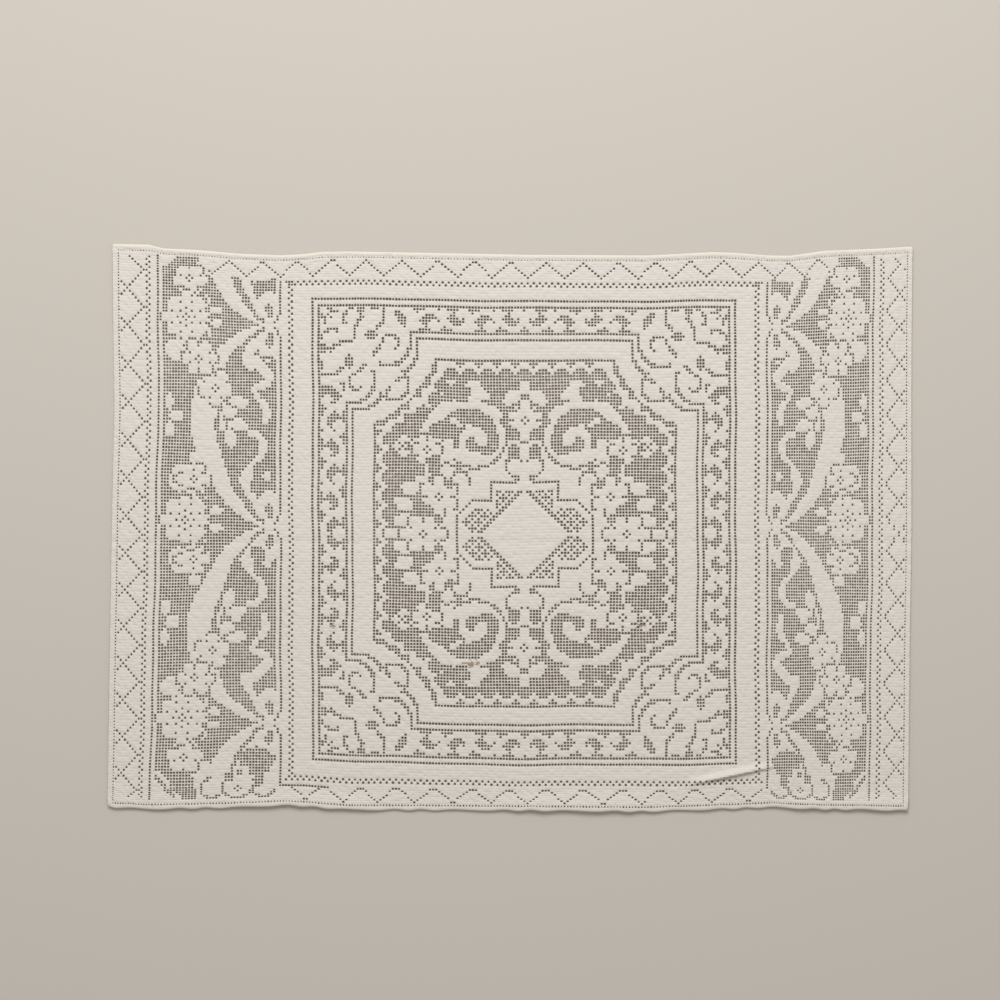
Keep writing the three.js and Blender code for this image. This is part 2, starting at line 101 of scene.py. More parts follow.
# How far it is pulled towards its far side: column, then a value for each of PULL_ROWS
PULL_ROWS = (-92, -75, 0, 75, 92)
ROW_PULL = (
    (-140, 8.2, 6.0, 3.1, 2.8, 2.6),
    (-127, 7.6, 5.5, 2.4, 3.0, 1.4),
    (-122, 4.8, 5.2, 2.3, 3.2, 1.2),
    (-110, 3.6, 4.1, 2.1, 3.6, 1.7),
    (-96, 0.9, 3.0, 2.0, 4.0, 2.4),
    (-81, -0.4, 2.6, 1.8, 4.3, 4.1),
    (-73, 0.5, 2.6, 1.5, 4.6, 3.4),
    (-67, 2.2, 2.3, 1.4, 4.0, 2.2),
    (-58, 2.5, 1.9, 1.2, 3.1, 0.7),
    (-35, 1.6, 1.7, 0.7, 1.2, 0.5),
    (0, 0.0, 0.0, 0.0, 0.0, 0.1),
    (40, -0.5, 0.2, 0.7, 0.0, -0.7),
    (62, 2.0, 0.6, 1.1, 0.6, 0.9),
    (70, 1.5, 0.7, 1.3, 0.8, 1.5),
    (81, -0.4, 1.3, 1.4, 1.6, 2.6),
    (90, -0.7, 1.8, 1.4, 1.8, 2.0),
    (104, 3.0, 2.6, 1.5, 2.1, 1.1),
    (124, 4.5, 3.4, 1.6, 2.1, 0.7),
    (140, 6.2, 3.7, 2.0, 2.1, 0.0),
)

# The raised crease, the faint fold lines and the lifted near edge, in millimetres
CREASE_FROM = (134, -192.3)
CREASE_TO = (198, -178.5)
CREASE_HEIGHT = 3.2
CREASE_FAR_WIDTH = 5.5
CREASE_NEAR_WIDTH = 2.2
FOLD_X = 10.5
FOLD_Y = -11.0
FOLD_DEPTH = 0.3
FOLD_WIDTH = 2.6
WAVE_HEIGHT = 0.3
# Waves: length, how much they bend, and the length of that bend
WAVE_ACROSS = (47, 0.8, 61)
WAVE_ALONG = (39, 0.5, 83)
NEAR_LIFT = 1.6
NEAR_LIFT_FROM = -196
NEAR_LIFT_TO = -210
NEAR_LIFT_MEAN = 0.6
NEAR_LIFT_SWING = 0.4
NEAR_LIFT_WAVE = (31, 1, 17)

# How far the threads wander, in millimetres, and how many cells from the edges that starts.
# Long waves in cells, then the fine wave's two lengths and its share
WANDER = 0.3
WANDER_CELLS = 10
WANDER_X = (8.3, 1, 21)
WANDER_Y = (9.1, 1, 17)
FINE_X = (3.7, 13)
FINE_Y = (4.3, 15)
FINE_SHARE = 0.6

# How much the near corners are rounded off
ROUNDED = 1.2
ROUNDED_CELLS = 3


def spread(table, at):
    """A table's columns, read off at these counts."""
    rows = np.array(table, float)
    return [np.interp(at, rows[:, 0], values) for values in rows[:, 1:].T]


def blend(knots, values, at):
    """Values that belong to knots, in proportion to how near each knot is."""
    shares = [np.interp(at, knots, unit) for unit in np.eye(len(knots))]
    return sum(share * value for share, value in zip(shares, values))


def bent(along, across, length, bend, bend_length):
    """The phase of a wave that bends from side to side."""
    return along / length + bend * np.sin(across / bend_length)


def wander(along, across, long_wave, fine_wave):
    """A long bending wave and a fine slanting one."""
    length, slant = fine_wave
    fine = np.sin(along / length + across / slant)
    return np.sin(bent(along, across, *long_wave)) + FINE_SHARE * fine


def place(column, row):
    """The uneven place of a column and row on the table, in millimetres."""
    x = spread(COLUMN_X, column)[0] + blend(LEAN_COLUMNS, spread(SIDE_LEAN, row), column)
    y = spread(ROW_Y, row)[0] + blend(PULL_ROWS, spread(ROW_PULL, column), row)
    from_side = LAST_COLUMN - np.abs(column)
    from_end = EDGE_ROW - np.abs(row)
    inside = np.clip(from_side / WANDER_CELLS, 0, 1) * np.clip(from_end / WANDER_CELLS, 0, 1)
    corner = np.clip(1 - from_side / ROUNDED_CELLS, 0, 1)
    corner = ROUNDED / 2 * corner * np.clip(1 - (EDGE_ROW - row) / ROUNDED_CELLS, 0, 1)
    x = x + WANDER * inside * wander(row, column, WANDER_X, FINE_X) - np.sign(column) * corner
    return x, y + WANDER * inside * wander(column, row, WANDER_Y, FINE_Y) + corner


def smooth(low, high, value):
    share = np.clip((value - low) / (high - low), 0, 1)
    return share * share * (3 - 2 * share)


def beside_crease(x, y):
    """How far along the crease a place is, as a share, and how far to its far side."""
    start, end = np.array(CREASE_FROM, float), np.array(CREASE_TO, float)
    length = np.hypot(*(end - start))
    ahead = (end - start) / length
    along = ((x - start[0]) * ahead[0] + (y - start[1]) * ahead[1]) / length
    return along, (y - start[1]) * ahead[0] - (x - start[0]) * ahead[1]


def crease(x, y):
    along, across = beside_crease(x, y)
    rise = np.sqrt(np.sin(np.pi * np.clip(along, 0, 1)))
    width = np.where(across > 0, CREASE_FAR_WIDTH, CREASE_NEAR_WIDTH)
    hump = np.cos(0.5 * np.pi * np.clip(across / width, -1, 1)) ** 2
    return CREASE_HEIGHT * rise * hump


def fold(at, line):
    return np.exp(-(((at - line) / FOLD_WIDTH) ** 2))


def near_edge(x, y):
    """The lifted near edge."""
    swing = NEAR_LIFT_MEAN + NEAR_LIFT_SWING * np.sin(bent(x, x, *NEAR_LIFT_WAVE))
    return smooth(NEAR_LIFT_FROM, NEAR_LIFT_TO, y) * NEAR_LIFT * swing


def lift(x, y):
    """How high the underside of the cloth lies above the table."""
    waves = np.sin(bent(x, y, *WAVE_ACROSS)) * np.cos(bent(y, x, *WAVE_ALONG))
    folds = fold(x, FOLD_X) + fold(y, FOLD_Y)
    base = FOLD_DEPTH + WAVE_HEIGHT * (1 + waves) - FOLD_DEPTH * np.clip(folds, 0, 1)
    return base + near_edge(x, y) + crease(x, y)


# Drawing on the net: each function says which of the cells at c, r a shape covers
PATH_STEPS = 12
ARC_STEPS = 24
TRAIL_STEPS = 4
EDGE_GAP = 0.8
NOTCH_SHARE = 0.66
PETAL_REACH = 1.02
PETAL_DEPTH = 0.28
TOOTH_REACH = 2.3


def path_through(stations):
    """Points along a smooth path through stations of column, row and width."""
    p = np.array(stations, float)
    p = np.vstack([2 * p[0] - p[1], p, 2 * p[-1] - p[-2]])
    t = np.linspace(0, 1, PATH_STEPS, endpoint=False)[:, None]
    spans = []
    for a, b, c, d in zip(p[:-3], p[1:-2], p[2:-1], p[3:]):
        bend = 2 * a - 5 * b + 4 * c - d + t * (3 * (b - c) + d - a)
        spans.append(b + 0.5 * t * (c - a + t * bend))
    return np.vstack(spans + [p[-2:-1]])


def stroke(c, r, stations):
    """A band of changing width."""
    covered = np.zeros(c.shape, bool)
    for column, row, width in path_through(stations):
        covered |= np.hypot(c - column, r - row) <= width / 2
    return covered


def turned(c, r, column, row, tilt):
    angle = np.radians(tilt)
    u = (c - column) * np.cos(angle) + (r - row) * np.sin(angle)
    v = (r - row) * np.cos(angle) - (c - column) * np.sin(angle)
    return u, v


def oval(c, r, column, row, across, along, tilt=0):
    u, v = turned(c, r, column, row, tilt)
    return (u / across) ** 2 + (v / along) ** 2 <= 1


def leaf(c, r, column, row, length, width, tilt):
    """A pointed oval, its long axis turned by tilt."""
    u, v = turned(c, r, column, row, tilt)
    u, v = 2 * u / length, 2 * v / width
    return (np.abs(u) <= 1) & (np.abs(v) <= 1 - u**2)


def flower(c, r, column, row, across, along, lobes, turn):
    """A disc with a scalloped edge."""
    u, v = (c - column) / across, (r - row) / along
    ripple = np.abs(np.cos(lobes / 2 * (np.arctan2(v, u) - np.radians(turn))))
    return np.hypot(u, v) <= PETAL_REACH - PETAL_DEPTH * (1 - ripple)


def cells_at(c, r, cells):
    covered = np.zeros(c.shape, bool)
    for column, row in cells:
        covered |= (c == np.round(column)) & (r == np.round(row))
    return covered


def eye(c, r, column, row):
    """Four holes round a flower's middle."""
    return np.abs(c - np.round(column)) + np.abs(r - np.round(row)) == 1


def flower_holes(c, r, column, row, across, along, lobes, turn):
    """A flower's four-hole eye, and single holes between its petals."""
    notches = np.radians(turn) + np.pi * (2 * np.arange(lobes) + 1) / lobes
    reach_c = column + NOTCH_SHARE * across * np.cos(notches)
    reach_r = row + NOTCH_SHARE * along * np.sin(notches)
    return cells_at(c, r, zip(reach_c, reach_r)) | eye(c, r, column, row)


def trail(c, r, points):
    """A line one cell wide."""
    points = np.array(points, float)
    cells = set()
    for a, b in zip(points[:-1], points[1:]):
        count = max(2, int(TRAIL_STEPS * np.hypot(*(b - a))))
        cells |= {tuple(np.round(a + (b - a) * t)) for t in np.linspace(0, 1, count)}
    return cells_at(c, r, cells)


def arc(c, r, column, row, across, along, first, last):
    """A line one cell wide along part of an oval; 0 degrees is right and 90 is near."""
    turn = np.radians(np.linspace(first, last, ARC_STEPS))
    return trail(c, r, np.stack([column + across * np.cos(turn), row + along * np.sin(turn)], -1))


def toothed_arc(c, r, column, row, radius, first, last, teeth):
    """Part of a circle, one cell wide, with small pointed teeth outside it."""
    turn = np.degrees(np.arctan2(r - row, c - column))
    reach = np.hypot(c - column, r - row) - radius
    pitch = (last - first) / teeth
    aside = radius * np.radians(wave(turn, pitch, first + pitch / 2))
    tooth = (turn > first) & (turn < last) & (reach > 0) & (aside + reach <= TOOTH_REACH)
    return tooth | arc(c, r, column, row, radius, radius, first, last)


def blooms(c, r, table):
    """Rims and holes of flowers, each lying on the ones before it."""
    lines = np.zeros(c.shape, bool)
    for column, row, across, along, lobes, turn in table:
        inside = flower(c, r, column, row, across, along, lobes, turn)
        grown = flower(c, r, column, row, across + 1, along + 1, lobes, turn)
        lines = lines & ~inside | grown & ~inside
        lines |= flower_holes(c, r, column, row, across, along, lobes, turn)
    return lines


def leaf_edges(c, r, table):
    """The cells just outside leaves, each lying on the ones before it."""
    lines = np.zeros(c.shape, bool)
    for column, row, length, width, tilt in table:
        inside = leaf(c, r, column, row, length, width, tilt)
        lines = lines & ~inside | leaf(c, r, column, row, length + 2, width + 2, tilt) & ~inside
    return lines


def ribbon_edge(c, r, side, stations):
    """A line one cell wide beside a band."""
    path = path_through(stations)
    ahead = np.gradient(path[:, :2], axis=0)
    ahead /= np.hypot(*ahead.T)[:, None]
    aside = np.stack([ahead[:, 1], -ahead[:, 0]], -1)
    return trail(c, r, path[:, :2] + side * aside * (path[:, 2:] / 2 + EDGE_GAP))


def fan(c, r, column, row, inner, outer, first, last, count):
    """Lines one cell wide that spread from a middle."""
    covered = np.zeros(c.shape, bool)
    for turn in np.radians(np.linspace(first, last, count)):
        ahead = np.array([np.cos(turn), np.sin(turn)])
        covered |= trail(c, r, [(column, row) + inner * ahead, (column, row) + outer * ahead])
    return covered


def each(shape, c, r, table):
    """All of a table's shapes together."""
    covered = np.zeros(c.shape, bool)
    for entry in table:
        covered |= shape(c, r, *entry)
    return covered


def wave(at, period, first):
    """How far each count is from the nearest of the crossings, which start at first."""
    return np.abs((at - first + period / 2) % period - period / 2)


# Frame and bands: row, column, and the last column and row that each reaches
FRAME_LINES = ((-75, -70, -70, -75), (-73, -68, -68, -73))
BAND_LINES = ((-64, -59, -37, -42), (-62, -57, -35, -40))
BAND_TURN = 5

# Scroll border repeat, from the frame inwards; o is a hole
SCROLL = (
    "oooo....o..oooo...",
    ".o...........o....",
    "....ooo.....oo....",
    "...ooooo...oooo.o.",
    "..oooo..o...ooooo.",
    "...oo........ooo..",
    "....o.....o.......",
    "..oooo...oooo.....",
)

# The borders' first row and column, how far they reach, and the two repeats
SCROLL_ROW = -72
SCROLL_COLUMN = -67
SCROLL_LAST_COLUMN = -36
SCROLL_LAST_ROW = -48
SCROLL_REPEAT = 18
SIDE_REPEAT = 17
SIDE_START = -7
# Single cells in the middle of the far and near borders
SCROLL_MIDDLE = ((0, -72), (0, -66), (0, -65), (-1, -65))

# Staggered lines: column and last row, then the two rows and their last column
STAGGERED_COLUMNS = ((-77, -81), (-127, -88))
STAGGERED_ROWS = (-80, 81)
STAGGERED_LAST_COLUMN = -79
OUTER_LINE = -124
OUTER_LINE_LAST_ROW = -89

# One quarter of the octagon's frame and of the scallops inside it: the two straight sides, how
# far they and their teeth reach, and where the net inside begins
OCTAGON_ROW = -56
OCTAGON_COLUMN = -49
OCTAGON_LAST_COLUMN = -29
OCTAGON_LAST_ROW = -35
TEETH_LAST_COLUMN = -23
TEETH_LAST_ROW = -33
TOOTH_PERIOD = 6
OCTAGON_NET_ROW = -51
OCTAGON_NET_COLUMN = -44
OCTAGON_NET_DIAGONAL = -71.5
OCTAGON_NET_END = (-26, -50)
# The diagonal is part of a circle: column, row, radius, first and last angle
OCTAGON_DIAGONAL = (-62.4, -68.4, 36, 22, 68)
DIAGONAL_TEETH = 6
# Ovals: column, row, across, along
OCTAGON_SCALLOPS = (
    (-27, -47.6, 2.4, 2.4),
    (-29.2, -42.9, 2.5, 2.7),
    (-33, -38.8, 2.4, 2.3),
    (-37.3, -36.2, 2.5, 2.5),
    (-41, -33, 2.7, 2.5),
    (-43.8, -30.2, 2.9, 2.0),
)

# One quarter of the octagon's flowers. Flowers: column, row, across, along, lobes, turn
OCTAGON_FLOWERS = (
    (0, -37, 5.9, 6.6, 6, 30),
    (-39.4, -28, 3.8, 3.2, 4, 0),
    (-32, -27, 4.8, 4.8, 6, 0),
    (-28, -12, 6.4, 6.2, 6, 30),
    (-33, 0, 7.4, 6.4, 6, 0),
)
# Ovals: column, row, across, along
OCTAGON_OVALS = (
    (0, 0, 30, 24),
    (-16.2, -31.6, 9.6, 9.6),
    (-26.4, -21.2, 5.6, 5.4),
    (-20.5, -21.5, 5, 5),
    (-25.6, -28.8, 6.6, 5.0),
    (-7, -24.5, 3.4, 3.4),
    (0, -47.4, 1.9, 2.3),
    (-3.4, -42.8, 3.7, 2.2),
    (-33.6, -16.2, 2.5, 2.6),
    (-37.8, -4, 4.4, 2.9),
    (-43, 0, 2.5, 1.7),
    (0, -28, 7, 6),
)
# Leaves: column, row, length, width, tilt
OCTAGON_LEAVES = (
    (-3.4, -45.4, 6, 2.8, -12),
    (-37.2, -14.4, 6.4, 4.4, 10),
    (-39.2, -9.4, 7.6, 4.4, 25),
    (-13.8, -45.2, 5, 2.8, 30),
    (-41, -4.2, 5, 2.4, -20),
)
# Strokes: column, row, width
OCTAGON_SCROLL = (
    (-32, -18.6, 1.6), (-32, -22, 1.6), (-34, -25.6, 2.4), (-35, -29, 2.6),
    (-33.4, -32.2, 2.5), (-31.2, -35.2, 2.8), (-28.2, -38.2, 4.4), (-25, -40.8, 4.0),
    (-20, -41.6, 2.6), (-15, -41.2, 2.8), (-10.2, -39, 3.6), (-8.2, -35, 2.8),
    (-7.6, -31, 2.6), (-8, -27, 2.6),
)
OCTAGON_SPROUT = ((-17.4, -41.6, 4), (-15.6, -45.6, 3.4), (-16, -48.6, 2.4), (-18.6, -48.2, 1.4))
OCTAGON_NET_STROKES = (
    ((-24, -39.2, 1.0), (-20.4, -38, 4.4), (-16, -37.4, 5.6), (-12.2, -35, 4.4),
     (-10.7, -31.2, 3.8), (-11.2, -27.8, 3.8), (-14.2, -27.2, 2.4), (-17.4, -28.6, 3.8),
     (-17.4, -30.8, 1.6)),
    ((-24.6, -32.6, 2.4), (-21.6, -33.2, 2.2), (-20, -34.6, 1.6)),
    ((-23, -31.4, 2.2), (-22.4, -28.2, 1.5)),
    ((-3.4, -40.4, 1.4), (-5.6, -40, 1.7), (-6.6, -38, 1.8), (-7, -36.6, 2.3), (-6, -35, 1.6)),
)
OCTAGON_NET_LEAVES = (
    (-27, -33.2, 11, 6.4, -12),
    (-4.4, -32.8, 6.4, 4.4, 40),
    (-3.4, -26.8, 5.6, 5.2, -45),
    (-29.4, -21.8, 7.4, 5.0, 90),
    (-33.4, -8, 7, 4.4, 0),
    (-28, -4.6, 3.6, 3.6, 0),
    (-2.8, -18.8, 3.2, 2.4, 0),
    (-24.5, -16, 3.4, 2.6, 90),
)
# Arcs: column, row, across, along, first and last angle
OCTAGON_ARCS = (
    (-16.2, -31.6, 10.2, 10.2, 5, 130),
    (-3.2, -22.2, 2.9, 2.8, 130, 330),
    (-25.4, -19.6, 4.4, 3, 170, 350),
    (-21, -17.4, 2.8, 3, 200, 380),
)
# The plain diamond and the patches of small work beside it. Oval: column, row, across, along
DIAMOND_REACH = -14
DIAPER_COLUMN = -9
DIAPER_ROW = -14
DIAPER_OVAL = (-14.5, -4.4, 5.6, 4.2)
STEPPED_BORDER = ((-3, -17), (-11, -17), (-11, -11), (-17, -11), (-22, -6), (-22, 0))

# Half of the leaf spray in a corner, counted inwards from the frame; the rest mirrors it
# about the diagonal. Arcs: across the band, along it, two radii, first and last angle
CORNER_COLUMN = -68
CORNER_ROW = -73
CORNER_ARCS = (
    (11.5, 4.6, 3.4, 3.8, 150, 255),
    (19, 10, 7, 8, 172, 232),
    (24.2, 12.4, 2.6, 2.6, 50, -165),
    (16.4, 10.5, 5.4, 5.6, 22, 66),
    (17.5, 3, 4.6, 5.6, -20, 60),
    (23.5, 12, 7.4, 7, 20, 112),
    (24, 13.6, 9.2, 9, 12, 58),
    (25.4, 25.4, 5, 5, -62, 45),
    (31, 31, 8.6, 8.6, 190, 212),
)
# Ovals: across the band, along it, two radii, tilt
CORNER_NET = (
    (18, 9.8, 2.2, 1.6, 0),
    (27.6, 4, 1.3, 3.4, -30),
    (14, 1.6, 1.5, 1.5, 0),
    (19, 1, 1.2, 0.9, 0),
    (26.6, 18.6, 1.8, 0.8, -30),
)
# Fan: middle, inner and outer reach, first and last angle, count
CORNER_FAN = (0.5, 0.5, 3, 5.5, 15, 75, 3)

# A side panel from its far end to its middle rosette; the rest mirrors it, a little longer
PANEL_COLUMNS = (-122, -83)
PANEL_LAST_ROW = 89
ROSETTE_ROW = -68
SPAN_ROW = -4
NEAR_SHARE = 64 / 65
# The bows and ribbons lie this many rows nearer than the flowers
BOW_SHIFT = 2
# A bow, counted from its middle row; its lobes and leaves are alike on both sides.
# Ovals: column, row, across, along
BOW_ROWS = (-66, -2, 63)
BOW_LOBES = ((-84.8, -5.6, 4.6, 5.8), (-84, 0, 3.6, 3))
# The tails beside the ribbons: column, row, width
BOW_TAILS = (
    ((-87.4, -3.4, 2), (-89, -6, 2), (-90.4, -8.8, 2.4), (-91.7, -11.2, 2.8), (-93.2, -14.8, 3.4)),
    ((-87.4, 3.4, 2), (-89.8, 5.6, 2.6), (-91.8, 8, 3.6), (-92.4, 10.6, 4.2), (-91.4, 13.2, 3.2)),
)
# The small open leaf: column, row, length, width, tilt
BOW_LEAF = (-84.8, -4.9, 5.8, 2.5, 72)
# The dotted line beside a panel, and how far it is drawn in at a bow
SIDE_LINE = -81
SIDE_LINE_ROWS = (-81, 84)
WAIST = 2.6
WAIST_ROWS = 4
# Ribbons: the side that their dotted line is on, then column, row, width
PANEL_RIBBONS = (
    (1, ((-87.4, -67.8, 0.8), (-89.4, -66.8, 1.4), (-92, -65.6, 2.6), (-96, -63.2, 3.2),
         (-99.4, -60.8, 3.8), (-102.6, -57, 5), (-105, -52, 7), (-107, -46, 9),
         (-108.2, -40, 8.6), (-108.2, -35, 8.2), (-107, -30, 8.0), (-105.2, -26, 7.4),
         (-103.4, -22, 6.6), (-101.6, -18, 5.8), (-99.4, -14, 5), (-96.4, -10.6, 4.2),
         (-92.4, -7.2, 2.8), (-89.4, -5.2, 1.4), (-87.4, -4.2, 0.8))),
    (-1, ((-87.4, -68.2, 0.8), (-89.4, -69.2, 1.4), (-92, -71.2, 2.8), (-94.4, -73.2, 3.6),
          (-97.4, -76.6, 4.8), (-100, -80.4, 6), (-102, -86, 7), (-102, -98, 8))),
)
# Stems: column, row, width
PANEL_STEMS = (
    ((-105.6, -98, 6), (-106.2, -91, 5.6), (-108, -86, 5), (-110.4, -81.6, 8), (-113.2, -78, 8.6)),
    ((-90, -55, 3), (-86.6, -51.8, 3.6), (-85, -49, 2.8), (-87.4, -47, 2.4), (-90, -46, 2.2),
     (-89.6, -43.4, 1.8), (-87.4, -41, 2.2), (-86, -38.4, 3), (-86.8, -35.4, 2.2)),
    ((-92.4, -31.6, 1.2), (-89.4, -31, 2.2), (-87, -28.4, 2.6), (-87.4, -25, 2.4),
     (-90.4, -21.6, 2.6), (-93, -17, 4.2), (-92, -12, 2.4)),
)
# Ovals: column, row, across, along
PANEL_OVALS = (
    (-122.5, -92, 5.4, 6.4),
    (-118.5, -97, 5.5, 5),
    (-117, -80, 2.5, 3.2),
    (-90, -92, 14, 11),
    (-105.4, -84.4, 1.6, 2.4),
    (-85.6, -18.2, 1.6, 1.6),
    (-108, -73.3, 2.2, 2),
    (-108, -62.5, 2.4, 3),
    (-103.4, -70.6, 2.3, 1.4),
    (-103.6, -66.2, 2.3, 1.4),
    (-113.5, -57.8, 8, 4),
    (-120.3, -41.4, 1.5, 2.7),
    (-117.6, -37, 2.5, 1.7),
    (-120.2, -32.6, 1.7, 2.6),
    (-100.6, -37.2, 1.6, 9.2),
    (-102.6, -48, 2.6, 2.4),
    (-110.4, -23.4, 2.2, 2.6),
    (-112.5, -16.5, 7, 6.2),
    (-108.6, -9.6, 2.6, 3),
    (-103.2, -6.6, 2.3, 1.6),
)
# Leaves: column, row, length, width, tilt
PANEL_LEAVES = (
    (-100, -45, 6.4, 4.4, 70),
    (-96, -41.6, 8.4, 4, 12),
    (-98.6, -37.8, 7, 4.2, 40),
    (-95.8, -34.2, 8, 4, 10),
    (-98.6, -29.8, 7.4, 4, 75),
)
# Flowers: column, row, across, along, lobes, turn
PANEL_FLOWERS = (
    (-112.6, -81.2, 6.0, 5.2, 5, 90),
    (-114, -68, 8.2, 8.2, 8, 0),
    (-114, -4, 8.2, 8.2, 8, 0),
    (-104, -46.4, 5.8, 5.8, 5, 90),
    (-109.6, -55.4, 6.2, 5.4, 6, 0),
    (-111.4, -17, 5.8, 5.2, 6, 0),
)
# What is open again inside those. Leaves: column, row, length, width, tilt
PANEL_NET = (
    (-88.6, -20, 5.6, 4.6, 90),
    (-89, -15, 7, 5.2, -30),
    (-118, -12.2, 4.6, 3.2, 0),
    (-117.8, -76, 4.8, 3.2, 0),
    (-118.8, -61.6, 4.6, 2.0, 0),
)
# Arcs: column, row, across, along, first and last angle
PANEL_ARCS = (
    (-86.4, -51.4, 3.6, 5, 250, 400),
    (-112, -10.4, 4.2, 3.4, 200, 330),
)
# The dotted line beside a rosette: first and last column
ROSETTE_LINE = (-106, -101)
RIBBON_LINE_ROW = 81
ROSETTE_COLUMN = -114
ROSETTE_HOLES = 8
ROSETTE_REACH = 3
# What the near end of a panel has beyond that: ovals, arcs, two lines and an eye
NEAR_END_NET = (
    (-89, 75.8, 5.6, 4.8),
    (-88.4, 82, 1.6, 2.2),
    (-98, 81, 1.3, 1.6),
    (-94.4, 79.6, 1.2, 1.2),
)
NEAR_END_DARNED = ((-92.6, 79, 1.4, 1.8), (-85, 80.4, 1.6, 1.4))
NEAR_END_ARCS = (
    (-103.6, 85, 3.6, 4, 30, 260),
    (-95.2, 84.4, 5, 4.6, 20, 195),
    (-86.6, 85, 3.8, 3.8, 15, 200),
)
NEAR_END_LINE = ((-122, 80), (-116, 88))
NEAR_LEFT_LINE = ((-80, 84), (-65, 84))
NEAR_END_EYE = (-95, 85)

# Side zigzags: side, period and first crossing, in rows
SIDE_ZIGZAGS = ((-1, 12, -5), (1, 10.87, 0.5))
ZIGZAG_COLUMN = 135
ZIGZAG_LAST_ROW = 88
# How far the lines go on beyond their crossings, and the last row of that
CROSSING_REACH = 2
CROSSING_LAST_ROW = 84
# Zigzags along the far and near edges: row and way of the points, period, one point, how flat
# the points are, and the last column
EDGE_ZIGZAGS = ((-83, -1, 11.8, 1.2, 0, 106), (84, 1, 12.25, 7.1, 1, 79))
ZIGZAG_DEPTH = 6.25
FAR_HEM_ROW = -90
NEAR_HEM_ROW = 91
SELVEDGE_DOTS = 138


def straight_lines(column, row):
    """The double frame, the double bands and the lines beside the panels."""
    left, far = -np.abs(column), -np.abs(row)
    hole = np.zeros(column.shape, bool)
    for line_row, line_column, last_column, last_row in FRAME_LINES + BAND_LINES:
        hole |= (far == line_row) & (left >= last_column)
        hole |= (left == line_column) & (far >= last_row)
    for line_row, line_column, last_column, last_row in BAND_LINES:
        hole |= (left == last_column) & (far >= line_row) & (far <= line_row + BAND_TURN)
        hole |= (far == last_row) & (left >= line_column) & (left <= line_column + BAND_TURN)
    for line_column, last_row in STAGGERED_COLUMNS:
        hole |= (left == line_column - row % 2) & (far >= last_row)
    far_row, near_row = STAGGERED_ROWS
    staggered = (row == far_row - column % 2) | (row == near_row + column % 2)
    hole |= staggered & (left >= STAGGERED_LAST_COLUMN)
    return hole | (left == OUTER_LINE) & (far >= OUTER_LINE_LAST_ROW)


def scrolls(ring, along):
    """A border's open cells, by ring inwards from the frame and place in the repeat."""
    scroll = np.array([[mark == "o" for mark in line] for line in SCROLL])
    deep = len(SCROLL) - 1
    return (ring >= 0) & (ring <= deep) & scroll[np.clip(ring, 0, deep), along]


def scroll_borders(left, far):
    ends = scrolls(far - SCROLL_ROW, left % SCROLL_REPEAT)
    sides = scrolls(left - SCROLL_COLUMN, (far - SIDE_START) % SIDE_REPEAT)
    hole = ends & (left >= SCROLL_LAST_COLUMN) & (left < 0) | sides & (far >= SCROLL_LAST_ROW)
    return hole | cells_at(left, far, SCROLL_MIDDLE)


def side_teeth(inward, along_wave):
    """Small teeth inside a straight line of the octagon, by cells in from it."""
    return (inward == 1) & (along_wave >= 2) | (inward == 2) & (along_wave == 3)


def scallop(along_wave):
    """How many cells the scalloped net reaches beyond its straight edge."""
    return np.where(along_wave <= 1, 2, np.where(along_wave <= 2, 1, 0))


def octagon_frame(left, far):
    """The octagon's dotted frame with its teeth."""
    hole = (far == OCTAGON_ROW) & (left >= OCTAGON_LAST_COLUMN)
    hole |= (left == OCTAGON_COLUMN) & (far >= OCTAGON_LAST_ROW)
    hole |= toothed_arc(left, far, *OCTAGON_DIAGONAL, DIAGONAL_TEETH)
    far_teeth = side_teeth(far - OCTAGON_ROW, wave(left, TOOTH_PERIOD, 0))
    left_teeth = side_teeth(left - OCTAGON_COLUMN, wave(far, TOOTH_PERIOD, 0))
    return hole | far_teeth & (left >= TEETH_LAST_COLUMN) | left_teeth & (far >= TEETH_LAST_ROW)


def octagon_net(left, far):
    """The scalloped net inside that frame."""
    net = far >= OCTAGON_NET_ROW - scallop(wave(left, TOOTH_PERIOD, 0))
    net &= left >= OCTAGON_NET_COLUMN - scallop(wave(far, TOOTH_PERIOD, 0))
    end_column, end_row = OCTAGON_NET_END
    within = (left + far >= OCTAGON_NET_DIAGONAL) | (far <= end_row) & (left >= end_column)
    return net & (within | each(oval, left, far, OCTAGON_SCALLOPS))


def octagon(left, far):
    hole = octagon_frame(left, far)
    darned = each(oval, left, far, OCTAGON_OVALS) | each(flower, left, far, OCTAGON_FLOWERS)
    darned |= each(leaf, left, far, OCTAGON_LEAVES)
    darned |= stroke(left, far, OCTAGON_SCROLL) | stroke(left, far, OCTAGON_SPROUT)
    hole |= octagon_net(left, far) & ~darned
    for stations in OCTAGON_NET_STROKES:
        hole |= stroke(left, far, stations)
    hole |= each(leaf, left, far, OCTAGON_NET_LEAVES) | each(arc, left, far, OCTAGON_ARCS)
    hole |= blooms(left, far, OCTAGON_FLOWERS) | trail(left, far, STEPPED_BORDER)
    return hole | diaper(left, far)


def diaper(left, far):
    """The two patches of small work beside the plain diamond."""
    odd = (left % 2 == 1) & (far % 2 == 1)
    work = odd | ((far % 4 == 2) & (left % 4 != 1)) | ((far % 4 == 0) & (left % 4 != 3))
    patches = (left >= DIAPER_COLUMN) & (far >= DIAPER_ROW) | oval(left, far, *DIAPER_OVAL)
    edge = (left + far == DIAMOND_REACH - 1) & (far >= DIAPER_ROW) & (left >= DIAPER_ROW)
    return patches & work & (left + far < DIAMOND_REACH) | edge


